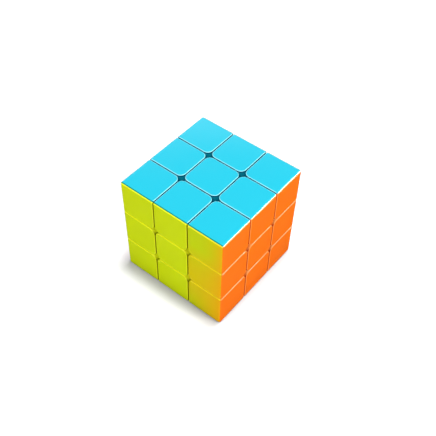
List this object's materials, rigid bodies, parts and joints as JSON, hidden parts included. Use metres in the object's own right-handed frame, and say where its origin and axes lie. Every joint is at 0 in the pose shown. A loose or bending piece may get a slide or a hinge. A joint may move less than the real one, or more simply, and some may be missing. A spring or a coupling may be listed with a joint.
{
  "type": "twisty puzzle cube",
  "caption": "Stickerless twisty puzzle cube: coloured corner, edge and centre pieces that turn about a sprung core.",
  "frame": {"origin": "centre of the core, which is the centre of the cube", "axes": "+Z out of the top face, +X out of the right face, +Y out of the back face"},
  "size_m": [0.056, 0.056, 0.056],
  "materials": {
    "cyan_plastic": "smooth moulded plastic, semi-gloss",
    "yellow_plastic": "smooth moulded plastic, semi-gloss",
    "orange_plastic": "smooth moulded plastic, semi-gloss",
    "green_plastic": "smooth moulded plastic, semi-gloss",
    "red_plastic": "smooth moulded plastic, semi-gloss",
    "white_plastic": "smooth moulded plastic, semi-gloss",
    "core_plastic": "plain moulded plastic, satin",
    "steel": "plain zinc-plated steel"
  },
  "bodies": {
    "core": {"core_spider": "core_plastic", "screw_top": "steel", "screw_bottom": "steel", "screw_front": "steel", "screw_back": "steel", "screw_left": "steel", "screw_right": "steel"},
    "turn_top": {"spring_top": "steel", "washer_top": "steel"},
    "centre_top": {"centre_housing_top": "cyan_plastic", "centre_cap_top": "cyan_plastic"},
    "turn_bottom": {"spring_bottom": "steel", "washer_bottom": "steel"},
    "centre_bottom": {"centre_housing_bottom": "green_plastic", "centre_cap_bottom": "green_plastic"},
    "turn_front": {"spring_front": "steel", "washer_front": "steel"},
    "centre_front": {"centre_housing_front": "yellow_plastic", "centre_cap_front": "yellow_plastic"},
    "turn_back": {"spring_back": "steel", "washer_back": "steel"},
    "centre_back": {"centre_housing_back": "white_plastic", "centre_cap_back": "white_plastic"},
    "turn_left": {"spring_left": "steel", "washer_left": "steel"},
    "centre_left": {"centre_housing_left": "red_plastic", "centre_cap_left": "red_plastic"},
    "turn_right": {"spring_right": "steel", "washer_right": "steel"},
    "centre_right": {"centre_housing_right": "orange_plastic", "centre_cap_right": "orange_plastic"},
    "edge_top_right": {"edge_top_right": "cyan_plastic"},
    "edge_top_back": {"edge_top_back": "cyan_plastic"},
    "edge_top_left": {"edge_top_left": "cyan_plastic"},
    "edge_top_front": {"edge_top_front": "cyan_plastic"},
    "edge_back_right": {"edge_back_right": "white_plastic"},
    "edge_back_left": {"edge_back_left": "white_plastic"},
    "edge_front_left": {"edge_front_left": "yellow_plastic"},
    "edge_front_right": {"edge_front_right": "yellow_plastic"},
    "edge_bottom_right": {"edge_bottom_right": "green_plastic"},
    "edge_bottom_back": {"edge_bottom_back": "green_plastic"},
    "edge_bottom_left": {"edge_bottom_left": "green_plastic"},
    "edge_bottom_front": {"edge_bottom_front": "green_plastic"},
    "corner_top_back_right": {"corner_top_back_right": "cyan_plastic", "corner_foot_top_back_right": "cyan_plastic"},
    "corner_top_back_left": {"corner_top_back_left": "cyan_plastic", "corner_foot_top_back_left": "cyan_plastic"},
    "corner_top_front_left": {"corner_top_front_left": "cyan_plastic", "corner_foot_top_front_left": "cyan_plastic"},
    "corner_top_front_right": {"corner_top_front_right": "cyan_plastic", "corner_foot_top_front_right": "cyan_plastic"},
    "corner_bottom_front_right": {"corner_bottom_front_right": "green_plastic", "corner_foot_bottom_front_right": "green_plastic"},
    "corner_bottom_back_right": {"corner_bottom_back_right": "green_plastic", "corner_foot_bottom_back_right": "green_plastic"},
    "corner_bottom_back_left": {"corner_bottom_back_left": "green_plastic", "corner_foot_bottom_back_left": "green_plastic"},
    "corner_bottom_front_left": {"corner_bottom_front_left": "green_plastic", "corner_foot_bottom_front_left": "green_plastic"}
  },
  "joints": [
    {"name": "face_top", "type": "hinge", "parent": "core", "child": "turn_top", "pos_m": [0, 0, 0], "axis": [0, 0, 1], "continuous": true},
    {"name": "spring_give_top", "type": "slide", "parent": "turn_top", "child": "centre_top", "axis": [0, 0, 1], "range_m": [0, 0.0006], "stiffness_N_per_m": 800, "springref_m": -0.002, "deforming": ["spring_top"]},
    {"name": "face_bottom", "type": "hinge", "parent": "core", "child": "turn_bottom", "pos_m": [0, 0, 0], "axis": [0, 0, -1], "continuous": true},
    {"name": "spring_give_bottom", "type": "slide", "parent": "turn_bottom", "child": "centre_bottom", "axis": [0, 0, -1], "range_m": [0, 0.0006], "stiffness_N_per_m": 800, "springref_m": -0.002, "deforming": ["spring_bottom"]},
    {"name": "face_front", "type": "hinge", "parent": "core", "child": "turn_front", "pos_m": [0, 0, 0], "axis": [0, -1, 0], "continuous": true},
    {"name": "spring_give_front", "type": "slide", "parent": "turn_front", "child": "centre_front", "axis": [0, -1, 0], "range_m": [0, 0.0006], "stiffness_N_per_m": 800, "springref_m": -0.002, "deforming": ["spring_front"]},
    {"name": "face_back", "type": "hinge", "parent": "core", "child": "turn_back", "pos_m": [0, 0, 0], "axis": [0, 1, 0], "continuous": true},
    {"name": "spring_give_back", "type": "slide", "parent": "turn_back", "child": "centre_back", "axis": [0, 1, 0], "range_m": [0, 0.0006], "stiffness_N_per_m": 800, "springref_m": -0.002, "deforming": ["spring_back"]},
    {"name": "face_left", "type": "hinge", "parent": "core", "child": "turn_left", "pos_m": [0, 0, 0], "axis": [-1, 0, 0], "continuous": true},
    {"name": "spring_give_left", "type": "slide", "parent": "turn_left", "child": "centre_left", "axis": [-1, 0, 0], "range_m": [0, 0.0006], "stiffness_N_per_m": 800, "springref_m": -0.002, "deforming": ["spring_left"]},
    {"name": "face_right", "type": "hinge", "parent": "core", "child": "turn_right", "pos_m": [0, 0, 0], "axis": [1, 0, 0], "continuous": true},
    {"name": "spring_give_right", "type": "slide", "parent": "turn_right", "child": "centre_right", "axis": [1, 0, 0], "range_m": [0, 0.0006], "stiffness_N_per_m": 800, "springref_m": -0.002, "deforming": ["spring_right"]},
    {"name": "edge_top_right_with_right", "type": "hinge", "parent": "turn_top", "child": "edge_top_right", "pos_m": [0, 0, 0], "axis": [1, 0, 0], "continuous": true},
    {"name": "edge_top_back_with_back", "type": "hinge", "parent": "turn_top", "child": "edge_top_back", "pos_m": [0, 0, 0], "axis": [0, 1, 0], "continuous": true},
    {"name": "edge_top_left_with_left", "type": "hinge", "parent": "turn_top", "child": "edge_top_left", "pos_m": [0, 0, 0], "axis": [-1, 0, 0], "continuous": true},
    {"name": "edge_top_front_with_front", "type": "hinge", "parent": "turn_top", "child": "edge_top_front", "pos_m": [0, 0, 0], "axis": [0, -1, 0], "continuous": true},
    {"name": "edge_back_right_with_back", "type": "hinge", "parent": "turn_right", "child": "edge_back_right", "pos_m": [0, 0, 0], "axis": [0, 1, 0], "continuous": true},
    {"name": "edge_back_left_with_left", "type": "hinge", "parent": "turn_back", "child": "edge_back_left", "pos_m": [0, 0, 0], "axis": [-1, 0, 0], "continuous": true},
    {"name": "edge_front_left_with_front", "type": "hinge", "parent": "turn_left", "child": "edge_front_left", "pos_m": [0, 0, 0], "axis": [0, -1, 0], "continuous": true},
    {"name": "edge_front_right_with_right", "type": "hinge", "parent": "turn_front", "child": "edge_front_right", "pos_m": [0, 0, 0], "axis": [1, 0, 0], "continuous": true},
    {"name": "edge_bottom_right_with_bottom", "type": "hinge", "parent": "turn_right", "child": "edge_bottom_right", "pos_m": [0, 0, 0], "axis": [0, 0, -1], "continuous": true},
    {"name": "edge_bottom_back_with_bottom", "type": "hinge", "parent": "turn_back", "child": "edge_bottom_back", "pos_m": [0, 0, 0], "axis": [0, 0, -1], "continuous": true},
    {"name": "edge_bottom_left_with_bottom", "type": "hinge", "parent": "turn_left", "child": "edge_bottom_left", "pos_m": [0, 0, 0], "axis": [0, 0, -1], "continuous": true},
    {"name": "edge_bottom_front_with_bottom", "type": "hinge", "parent": "turn_front", "child": "edge_bottom_front", "pos_m": [0, 0, 0], "axis": [0, 0, -1], "continuous": true},
    {"name": "corner_top_back_right_with_top", "type": "hinge", "parent": "edge_back_right", "child": "corner_top_back_right", "pos_m": [0, 0, 0], "axis": [0, 0, 1], "continuous": true},
    {"name": "corner_top_back_left_with_top", "type": "hinge", "parent": "edge_back_left", "child": "corner_top_back_left", "pos_m": [0, 0, 0], "axis": [0, 0, 1], "continuous": true},
    {"name": "corner_top_front_left_with_top", "type": "hinge", "parent": "edge_front_left", "child": "corner_top_front_left", "pos_m": [0, 0, 0], "axis": [0, 0, 1], "continuous": true},
    {"name": "corner_top_front_right_with_top", "type": "hinge", "parent": "edge_front_right", "child": "corner_top_front_right", "pos_m": [0, 0, 0], "axis": [0, 0, 1], "continuous": true},
    {"name": "corner_bottom_front_right_with_front", "type": "hinge", "parent": "edge_bottom_right", "child": "corner_bottom_front_right", "pos_m": [0, 0, 0], "axis": [0, -1, 0], "continuous": true},
    {"name": "corner_bottom_back_right_with_right", "type": "hinge", "parent": "edge_bottom_back", "child": "corner_bottom_back_right", "pos_m": [0, 0, 0], "axis": [1, 0, 0], "continuous": true},
    {"name": "corner_bottom_back_left_with_back", "type": "hinge", "parent": "edge_bottom_left", "child": "corner_bottom_back_left", "pos_m": [0, 0, 0], "axis": [0, 1, 0], "continuous": true},
    {"name": "corner_bottom_front_left_with_left", "type": "hinge", "parent": "edge_bottom_front", "child": "corner_bottom_front_left", "pos_m": [0, 0, 0], "axis": [-1, 0, 0], "continuous": true}
  ],
  "couplings": [
    {"joint": "edge_top_right_with_right", "follows": "face_right", "ratio": 1},
    {"joint": "edge_top_back_with_back", "follows": "face_back", "ratio": 1},
    {"joint": "edge_top_left_with_left", "follows": "face_left", "ratio": 1},
    {"joint": "edge_top_front_with_front", "follows": "face_front", "ratio": 1},
    {"joint": "edge_back_right_with_back", "follows": "face_back", "ratio": 1},
    {"joint": "edge_back_left_with_left", "follows": "face_left", "ratio": 1},
    {"joint": "edge_front_left_with_front", "follows": "face_front", "ratio": 1},
    {"joint": "edge_front_right_with_right", "follows": "face_right", "ratio": 1},
    {"joint": "edge_bottom_right_with_bottom", "follows": "face_bottom", "ratio": 1},
    {"joint": "edge_bottom_back_with_bottom", "follows": "face_bottom", "ratio": 1},
    {"joint": "edge_bottom_left_with_bottom", "follows": "face_bottom", "ratio": 1},
    {"joint": "edge_bottom_front_with_bottom", "follows": "face_bottom", "ratio": 1},
    {"joint": "corner_top_back_right_with_top", "follows": "face_top", "ratio": 1},
    {"joint": "corner_top_back_left_with_top", "follows": "face_top", "ratio": 1},
    {"joint": "corner_top_front_left_with_top", "follows": "face_top", "ratio": 1},
    {"joint": "corner_top_front_right_with_top", "follows": "face_top", "ratio": 1},
    {"joint": "corner_bottom_front_right_with_front", "follows": "face_front", "ratio": 1},
    {"joint": "corner_bottom_back_right_with_right", "follows": "face_right", "ratio": 1},
    {"joint": "corner_bottom_back_left_with_back", "follows": "face_back", "ratio": 1},
    {"joint": "corner_bottom_front_left_with_left", "follows": "face_left", "ratio": 1}
  ]
}
